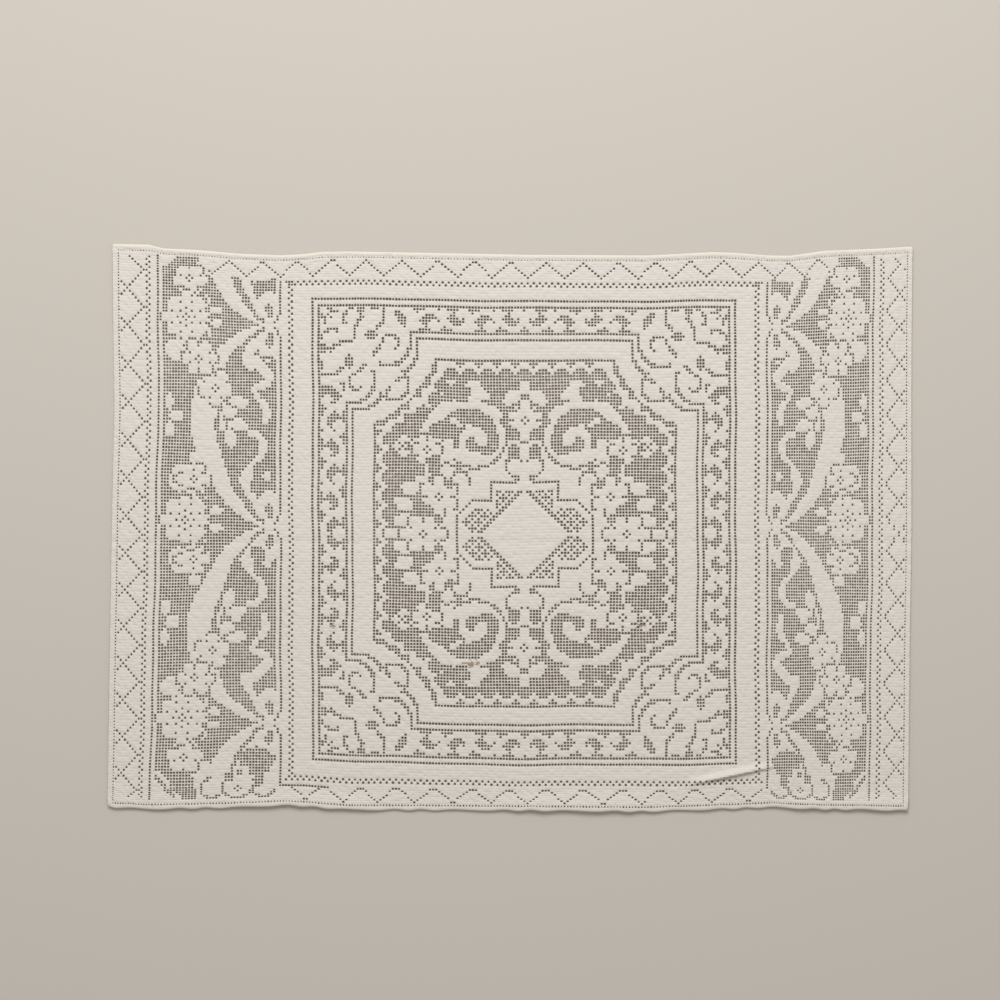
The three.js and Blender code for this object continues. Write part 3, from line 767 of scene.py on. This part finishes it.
def corners(left, far):
    across, along = left - CORNER_COLUMN, far - CORNER_ROW
    within = (across > 0) & (along > 0)
    hole = fan(across, along, *CORNER_FAN)
    for u, v in ((across, along), (along, across)):
        hole |= each(arc, u, v, CORNER_ARCS) | each(oval, u, v, CORNER_NET)
    return within & hole


def panel_span(row):
    """Rows of a side panel, those beyond its middle folded back over the far half."""
    beyond = np.maximum(row - SPAN_ROW, 0)
    return np.where(beyond > 0, SPAN_ROW - np.round(NEAR_SHARE * beyond), row)


def from_bow(row):
    """Rows from the middle of the nearest bow."""
    offset = row - BOW_ROWS[0]
    for middle in BOW_ROWS[1:]:
        offset = np.where(np.abs(row - middle) < np.abs(offset), row - middle, offset)
    return offset


def bow_lines(left, row, level):
    """The bows' small open leaves, and the dotted line that is drawn in at each bow."""
    drawn_in = np.round(WAIST * np.clip(1 + level / WAIST_ROWS, 0, 1))
    first, last = SIDE_LINE_ROWS
    line = (left == SIDE_LINE - drawn_in) & (level < 0) & (row >= first) & (row <= last)
    return line | leaf(left, level, *BOW_LEAF)


def side_panels(column, row):
    left = -np.abs(column)
    first, last = PANEL_COLUMNS
    panel = (left >= first) & (left <= last) & (np.abs(row) <= PANEL_LAST_ROW)
    span, ribbon_span = panel_span(row), panel_span(row - BOW_SHIFT)
    offset = from_bow(row)
    level = -np.abs(offset)
    darned = each(oval, left, level, BOW_LOBES)
    darned |= each(oval, left, span, PANEL_OVALS) | each(leaf, left, span, PANEL_LEAVES)
    darned |= each(flower, left, span, PANEL_FLOWERS)
    for stations in PANEL_STEMS:
        darned |= stroke(left, span, stations)
    for stations in BOW_TAILS:
        darned |= stroke(left, offset, stations)
    for _, stations in PANEL_RIBBONS:
        darned |= stroke(left, ribbon_span, stations)
    hole = panel & ~darned | bow_lines(left, row, level)
    hole |= panel_lines(left, row, span, ribbon_span)
    hole = (hole | each(oval, left, row, NEAR_END_NET)) & ~each(oval, left, row, NEAR_END_DARNED)
    hole |= each(arc, left, row, NEAR_END_ARCS) | eye(left, row, *NEAR_END_EYE)
    return hole | trail(left, row, NEAR_END_LINE) | trail(column, row, NEAR_LEFT_LINE)


def panel_lines(left, row, span, ribbon_span):
    """Dotted lines and small open leaves inside a side panel's flowers and ribbons."""
    hole = each(ribbon_edge, left, ribbon_span, PANEL_RIBBONS) & (np.abs(row) <= RIBBON_LINE_ROW)
    hole &= ~each(leaf, left, span, PANEL_LEAVES)
    hole |= leaf_edges(left, span, PANEL_LEAVES)
    hole = hole & ~each(flower, left, span, PANEL_FLOWERS) | blooms(left, span, PANEL_FLOWERS)
    hole |= each(leaf, left, span, PANEL_NET) | each(arc, left, span, PANEL_ARCS)
    turns = 2 * np.pi * np.arange(ROSETTE_HOLES) / ROSETTE_HOLES
    ring_column = ROSETTE_COLUMN + ROSETTE_REACH * np.cos(turns)
    first, last = ROSETTE_LINE
    for middle in (ROSETTE_ROW, SPAN_ROW):
        hole |= cells_at(left, span, zip(ring_column, middle + ROSETTE_REACH * np.sin(turns)))
        hole |= (span == middle) & (left >= first) & (left <= last)
    return hole


def zigzags(column, row):
    within = np.abs(row) <= ZIGZAG_LAST_ROW
    crossing = np.abs(row) <= CROSSING_LAST_ROW
    hole = np.zeros(column.shape, bool)
    for side, period, first in SIDE_ZIGZAGS:
        lane = np.round(wave(row, period, first)).astype(int)
        hole |= (side * column == ZIGZAG_COLUMN - lane) & within
        hole |= (side * column == ZIGZAG_COLUMN + lane) & (lane <= CROSSING_REACH) & crossing
    for start, way, period, first, flat, last in EDGE_ZIGZAGS:
        rise = np.maximum(wave(column, period, first) - flat, 0) / (period / 2 - flat)
        hole |= (row == start + way * np.round(ZIGZAG_DEPTH * rise)) & (np.abs(column) <= last)
    return hole


def edge_dots(column, row):
    """The fine holes beside the hems and selvedges."""
    within = (row >= FAR_HEM_ROW) & (row <= NEAR_HEM_ROW) & (np.abs(column) <= SELVEDGE_DOTS)
    edge = (row == FAR_HEM_ROW) | (row == NEAR_HEM_ROW) | (np.abs(column) == SELVEDGE_DOTS)
    return within & edge


def chart(column, row):
    """Which cells of the net are open."""
    left, far = -np.abs(column), -np.abs(row)
    hole = straight_lines(column, row) | scroll_borders(left, far) | octagon(left, far)
    hole |= corners(left, far) | side_panels(column, row)
    return hole | zigzags(column, row) | edge_dots(column, row)


# Making the threads. In the lists below the corners of a cell are far left and right, near
# right and left, the two middles of its sides carry the ribs, and rim and foot are the hole's
FL, FR, NR, NL, MR, ML = range(6)
RIM = tuple(range(6, 14))
FOOT = tuple(range(14, 18))
UFL, UFR, UNR, UNL = range(18, 22)
CELL_POINTS = 22
HOLE_POINTS = len(RIM + FOOT)

FILLED_TOP = ((FL, FR, MR), (FL, MR, ML), (ML, MR, NR), (ML, NR, NL))
FILLED_UNDER = ((UFL, UNL, UNR), (UFL, UNR, UFR))
OPEN_TOP = (
    (FL, FR, RIM[1]), (FL, RIM[1], RIM[0]), (FR, RIM[2], RIM[1]), (FR, MR, RIM[2]),
    (MR, RIM[3], RIM[2]), (MR, NR, RIM[3]), (NR, RIM[4], RIM[3]), (NR, NL, RIM[5]),
    (NR, RIM[5], RIM[4]), (NL, RIM[6], RIM[5]), (NL, ML, RIM[6]), (ML, RIM[7], RIM[6]),
    (ML, FL, RIM[7]), (FL, RIM[0], RIM[7]),
)
OPEN_WALL = tuple(
    face
    for k in range(4)
    for face in (
        (RIM[2 * k], RIM[2 * k + 1], FOOT[(k + 1) % 4]),
        (RIM[2 * k], FOOT[(k + 1) % 4], FOOT[k]),
        (RIM[2 * k + 1], RIM[(2 * k + 2) % 8], FOOT[(k + 1) % 4]),
    )
)
UNDER = (UFL, UFR, UNR, UNL)
OPEN_UNDER = tuple(
    face
    for k in range(4)
    for face in (
        (UNDER[k], FOOT[k], FOOT[(k + 1) % 4]),
        (UNDER[k], FOOT[(k + 1) % 4], UNDER[(k + 1) % 4]),
    )
)
LEFT_SIDE = ((FL, ML, UFL), (ML, NL, UNL), (ML, UNL, UFL))
RIGHT_SIDE = ((MR, FR, UFR), (MR, UFR, UNR), (NR, MR, UNR))
FAR_SIDE = ((FR, FL, UFL), (FR, UFL, UFR))
NEAR_SIDE = ((NL, NR, UNR), (NL, UNR, UNL))

RIM_SPOTS = (
    (-HOLE_FLAT, -HOLE_REACH), (HOLE_FLAT, -HOLE_REACH),
    (HOLE_REACH, -HOLE_FLAT), (HOLE_REACH, HOLE_FLAT),
    (HOLE_FLAT, HOLE_REACH), (-HOLE_FLAT, HOLE_REACH),
    (-HOLE_REACH, HOLE_FLAT), (-HOLE_REACH, -HOLE_FLAT),
)
FOOT_SPOTS = (
    (-HOLE_FOOT, -HOLE_FOOT), (HOLE_FOOT, -HOLE_FOOT),
    (HOLE_FOOT, HOLE_FOOT), (-HOLE_FOOT, HOLE_FOOT),
)
# Slots: the thread, the hole walls' painted shade, brown wear, and the painted shade under the
# crease
THREAD, HOLE_WALL_SHADE, WORN, CREASE_SHADE = range(4)

# Brown worn spots: x, y, and how far each reaches sideways and upright, in millimetres
WORN_SPOTS = ((-29.3, -101.4, 6.8, 3.8), (98.3, -72.8, 6, 3.4), (-132.8, -73.7, 3, 3))


def thickness(hole, column, row):
    """How thick the lace is at a cell's corners, from the cells round it."""
    cells = np.where(hole & ~edge_dots(column, row), NET, DARNED)
    cells = np.where(np.abs(column) >= SELVEDGE_COLUMN, SELVEDGE, cells)
    padded = np.pad(cells, 1, mode="edge")
    mean = (padded[:-1, :-1] + padded[1:, :-1] + padded[:-1, 1:] + padded[1:, 1:]) / 4
    uneven = np.random.default_rng(SEED).uniform(-1, 1, mean.shape)
    return mean + UNEVEN_HEIGHT * uneven


def points_at(column, row, above):
    x, y = place(column, row)
    return np.stack([x, y, lift(x, y) + above], -1).reshape(-1, 3)


def cell_points(hole):
    """For each cell of a block, the numbers of its points."""
    rows, columns = hole.shape
    corner = np.arange((rows + 1) * (columns + 1)).reshape(rows + 1, columns + 1)
    middle = corner.size + np.arange(rows * (columns + 1)).reshape(rows, columns + 1)
    under = corner.size + middle.size + corner
    first = 2 * corner.size + middle.size
    spots = np.zeros((rows, columns, CELL_POINTS), int)
    for k, grid in ((FL, corner), (UFL, under)):
        spots[:, :, k] = grid[:-1, :-1]
        spots[:, :, k + 1] = grid[:-1, 1:]
        spots[:, :, k + 2] = grid[1:, 1:]
        spots[:, :, k + 3] = grid[1:, :-1]
    spots[:, :, MR] = middle[:, 1:]
    spots[:, :, ML] = middle[:, :-1]
    order = np.cumsum(hole).reshape(hole.shape) - 1
    for k in range(HOLE_POINTS):
        spots[:, :, RIM[0] + k] = first + HOLE_POINTS * order + k
    return spots


def lace_faces(hole):
    """Triangles of a block of cells as rows of point numbers, and the slot each one wears."""
    spots = cell_points(hole)
    faces, slots = [], []

    def add(cells, pattern, slot):
        made = cells[:, np.array(pattern)].reshape(-1, 3)
        faces.append(made)
        slots.append(np.full(len(made), slot))

    add(spots[~hole], FILLED_TOP, THREAD)
    add(spots[~hole], FILLED_UNDER, THREAD)
    add(spots[hole], OPEN_TOP, THREAD)
    # Hole walls wear a dark painted shade, so the holes look dark under any light
    add(spots[hole], OPEN_WALL, HOLE_WALL_SHADE)
    add(spots[hole], OPEN_UNDER, THREAD)
    add(spots[:, 0], LEFT_SIDE, THREAD)
    add(spots[:, -1], RIGHT_SIDE, THREAD)
    add(spots[0], FAR_SIDE, THREAD)
    add(spots[-1], NEAR_SIDE, THREAD)
    return np.vstack(faces)[:, ::-1], np.concatenate(slots)


def hole_points(hole, column, row, thick):
    """Rim and foot of each open cell, in millimetres."""
    open_c, open_r = column[hole][:, None], row[hole][:, None]
    dot_share = np.where(open_r == FAR_HEM_ROW, FAR_DOT_SHARE, EDGE_DOT_SHARE)
    share = np.where(edge_dots(open_c, open_r), dot_share, spread(HOLE_SHARE, open_c)[0])
    share = share + UNEVEN_HOLE * np.random.default_rng(SEED).uniform(-1, 1, share.shape)
    rim_c, rim_r = np.array(RIM_SPOTS).T
    foot_c, foot_r = np.array(FOOT_SPOTS).T
    cell_thick = ((thick[:-1, :-1] + thick[1:, 1:]) / 2)[hole][:, None]
    rim_height = cell_thick - HOLE_DIP + 0 * rim_c
    rims = points_at(open_c + share * rim_c, open_r + share * rim_r, rim_height)
    feet = points_at(open_c + share * foot_c, open_r + share * foot_r, 0 * cell_thick)
    both = [rims.reshape(-1, len(RIM), 3), feet.reshape(-1, len(FOOT), 3)]
    return np.concatenate(both, 1).reshape(-1, 3)


def lace_points(hole, column, row, thick):
    """Points in the order that lace_faces counts them, in millimetres."""
    edges_c = np.append(column[0] - 0.5, column[0, -1] + 0.5)
    edges_c = np.clip(edges_c, -LAST_COLUMN, LAST_COLUMN)
    edges_r = np.append(row[:, 0] - 0.5, row[-1, 0] + 0.5)
    corner_c, corner_r = np.meshgrid(edges_c, edges_r)
    middle_c, middle_r = np.meshgrid(edges_c, row[:, 0])
    middle_thick = (thick[:-1] + thick[1:]) / 2
    return np.vstack([
        points_at(corner_c, corner_r, thick - RIB),
        points_at(middle_c, middle_r, middle_thick + RIB),
        points_at(corner_c, corner_r, 0 * thick),
        hole_points(hole, column, row, thick),
    ])


def mesh_object(name, points, faces, slots, materials):
    mesh = bpy.data.meshes.new(name)
    mesh.vertices.add(len(points))
    mesh.vertices.foreach_set("co", (points * MM).astype(np.float32).ravel())
    mesh.loops.add(faces.size)
    mesh.loops.foreach_set("vertex_index", faces.astype(np.int32).ravel())
    mesh.polygons.add(len(faces))
    mesh.polygons.foreach_set("loop_start", np.arange(0, faces.size, 3, dtype=np.int32))
    mesh.polygons.foreach_set("material_index", slots.astype(np.int32))
    for material in materials:
        mesh.materials.append(material)
    mesh.update(calc_edges=True)
    mesh.shade_flat()
    piece = bpy.data.objects.new(name, mesh)
    bpy.context.scene.collection.objects.link(piece)
    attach(piece, "root")
    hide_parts("lace_cloth")
    return piece


def wear_and_crease_shade(points, faces, slots):
    """Threads at worn spots are brown, and those under the crease get a painted brown shade,
    thinning out sideways.
    """
    x, y = points[faces].mean(1)[:, :2].T
    fade = np.random.default_rng(SEED).uniform(0, 1, len(faces))
    along, across = beside_crease(x, y)
    # Painted shade: threads on the crease's near slope, where its shadow falls, turn brown
    crease_shadow = (np.abs(2 * along - 1) < np.sqrt(fade)) & (across < 0) & (across > -CREASE_NEAR_WIDTH)
    slots = np.where(crease_shadow & (slots == THREAD), CREASE_SHADE, slots)
    for spot_x, spot_y, sideways, upright in WORN_SPOTS:
        spot = np.hypot((x - spot_x) / sideways, (y - spot_y) / upright) < fade
        slots = np.where(spot & (slots == THREAD), WORN, slots)
    return slots


def lace_pieces(materials):
    """The lace in blocks of columns of about equal work, each with its flat size."""
    columns = np.arange(-LAST_COLUMN, LAST_COLUMN + 1)
    column, row = np.meshgrid(columns, np.arange(-LAST_ROW, LAST_ROW + 1))
    hole = chart(column, row)
    thick = thickness(hole, column, row)
    filled_count = len(FILLED_TOP + FILLED_UNDER)
    open_count = len(OPEN_TOP + OPEN_WALL + OPEN_UNDER)
    work = np.cumsum(np.where(hole, open_count, filled_count).sum(0))
    cuts = np.searchsorted(work, work[-1] * np.arange(PIECES + 1) / PIECES)
    made = []
    for k, (start, stop) in enumerate(zip(cuts[:-1], cuts[1:])):
        stop = hole.shape[1] if k == PIECES - 1 else stop
        part = np.s_[:, start:stop]
        block = hole[part]
        faces, slots = lace_faces(block)
        points = lace_points(block, column[part], row[part], thick[:, start:stop + 1])
        piece = mesh_object(f"lace_{k + 1}", points, faces, wear_and_crease_shade(points, faces, slots), materials)
        size = np.ptp(points[:, :2], axis=0) * MM
        made.append((piece, tuple(size)))
    return made


# Waves along the hems, in cells: length, how much they bend, and the length of that bend
HEM_WOBBLE_WAVE = (1.9, 1.4, 5.7)
HEM_PLUMP_WAVE = (3.1, 1, 7.3)


def hem_points(edge_row, width, wobble):
    """Rings of points round a rolled hem, in millimetres, from its left end to its right."""
    columns = np.linspace(-LAST_COLUMN, LAST_COLUMN, 2 * LAST_COLUMN + 1)
    x, y = place(columns, np.full(columns.shape, float(edge_row)))
    y = y + wobble * np.sin(bent(columns, columns, *HEM_WOBBLE_WAVE))
    inward = np.sign(edge_row)
    turns = 2 * np.pi * np.arange(HEM_SIDES) / HEM_SIDES
    plump = 1 + HEM_PLUMP * np.sin(bent(columns, columns, *HEM_PLUMP_WAVE))
    half_width = width / 2 * plump
    half_height = HEM_HEIGHT / 2 * plump
    base = lift(x, y + inward * width / 2)
    ring_x = np.repeat(x[:, None], HEM_SIDES, 1)
    ring_y = y[:, None] + inward * half_width[:, None] * (1 + np.cos(turns))
    ring_z = base[:, None] + half_height[:, None] * (1 + np.sin(turns))
    return np.stack([ring_x, ring_y, ring_z], -1)


def hem_faces(rings):
    """Triangles between a hem's rings and across its two ends."""
    k = np.arange(HEM_SIDES)[None, :]
    after = (k + 1) % HEM_SIDES
    ring = HEM_SIDES * np.arange(rings - 1)[:, None]
    ahead = ring + HEM_SIDES
    quads = np.stack([ring + k, ring + after, ahead + after, ahead + k], -1).reshape(-1, 4)
    side = np.arange(1, HEM_SIDES - 1)
    start = np.stack([0 * side, side + 1, side], -1)
    end = (rings - 1) * HEM_SIDES + np.stack([0 * side, side, side + 1], -1)
    return np.vstack([quads[:, [0, 1, 2]], quads[:, [0, 2, 3]], start, end])


def hem_piece(name, edge_row, width, wobble, material):
    """A rolled hem along the far or near edge."""
    rings = hem_points(edge_row, width, wobble)
    faces = hem_faces(len(rings))
    if edge_row < 0:
        faces = faces[:, ::-1]
    slots = np.zeros(len(faces))
    piece = mesh_object(name, rings.reshape(-1, 3), faces, slots, (material,))
    piece.data.shade_smooth()
    return piece


# Colours of the lace in the order of its slots, of the hems and of the floor
LACE_COLOURS = (
    ("lace_thread", (0.722, 0.688, 0.64)),
    # painted shade for the hole walls
    ("lace_hole_painted_shade", (0.29, 0.24, 0.19)),
    ("lace_worn", (0.36, 0.29, 0.22)),
    # painted shade under the crease
    ("lace_crease_painted_shade", (0.58, 0.51, 0.41)),
)
# Both hems share one yellow cream; the far hem's extra lightness is painted light and the near
# hem's darkness is painted shade
FAR_HEM_LIT_COLOUR = (0.78, 0.735, 0.65)
NEAR_HEM_SHADED_COLOUR = (0.68, 0.63, 0.555)
FLOOR_COLOUR = (0.6, 0.56, 0.508)
CLOTH_ROUGHNESS = 0.92
FLOOR_ROUGHNESS = 0.95
SPECULAR = 0.15

# Floor, soft light from all round and one large window beyond the far edge, in metres
FLOOR_SIZE = 6
SKY_COLOUR = (1.0, 0.975, 0.94)
SKY_STRENGTH = 0.45
WINDOW_COLOUR = (1.0, 0.99, 0.975)
WINDOW_SIZE = 1.0
WINDOW_POWER = 30
WINDOW_PLACE = (-0.1, 1.37, 1.55)


def cloth_material(name, colour, roughness=CLOTH_ROUGHNESS):
    material = bpy.data.materials.new(name)
    material.use_nodes = True
    shader = material.node_tree.nodes["Principled BSDF"]
    shader.inputs["Base Color"].default_value = (*colour, 1)
    shader.inputs["Roughness"].default_value = roughness
    shader.inputs["Specular IOR Level"].default_value = SPECULAR
    return material


def floor_and_light():
    bpy.ops.mesh.primitive_plane_add(size=FLOOR_SIZE, location=(0, 0, 0))
    floor = bpy.context.object
    floor.name = "floor"
    floor.data.materials.append(cloth_material("floor", FLOOR_COLOUR, FLOOR_ROUGHNESS))
    world = bpy.data.worlds.new("studio")
    bpy.context.scene.world = world
    world.use_nodes = True
    sky = world.node_tree.nodes["Background"]
    sky.inputs["Color"].default_value = (*SKY_COLOUR, 1)
    sky.inputs["Strength"].default_value = SKY_STRENGTH
    lamp = bpy.data.lights.new("window", "AREA")
    lamp.size = WINDOW_SIZE
    lamp.energy = WINDOW_POWER
    lamp.color = WINDOW_COLOUR
    window = bpy.data.objects.new("window", lamp)
    window.location = WINDOW_PLACE
    window.rotation_euler = (-window.location).to_track_quat("-Z", "Y").to_euler()
    bpy.context.scene.collection.objects.link(window)


# The photograph's frame: its width on the table and its middle, in metres
FRAME_WIDTH = 0.75
FRAME_MIDDLE = (-0.0075, 0.0208)
LENS = 100


def camera():
    data = bpy.data.cameras.new("camera")
    data.lens = LENS
    viewer = bpy.data.objects.new("camera", data)
    viewer.location = (*FRAME_MIDDLE, FRAME_WIDTH * LENS / data.sensor_width)
    bpy.context.scene.collection.objects.link(viewer)
    bpy.context.scene.camera = viewer
    bpy.context.scene.view_settings.view_transform = "Standard"


lace_materials = [cloth_material(name, colour) for name, colour in LACE_COLOURS]
# The far hem wears a painted light and the near hem a painted shade over their own cream
far_hem_painted_light = cloth_material("lace_far_hem_painted_light", FAR_HEM_LIT_COLOUR)
near_hem_painted_shade = cloth_material("lace_near_hem_painted_shade", NEAR_HEM_SHADED_COLOUR)

hems = [
    hem_piece("hem_far", -EDGE_ROW, FAR_HEM_WIDTH, 0, far_hem_painted_light),
    hem_piece("hem_near", EDGE_ROW, NEAR_HEM_WIDTH, HEM_WOBBLE, near_hem_painted_shade),
]
for piece, size in lace_pieces(lace_materials):
    hems = []

floor_and_light()
camera()
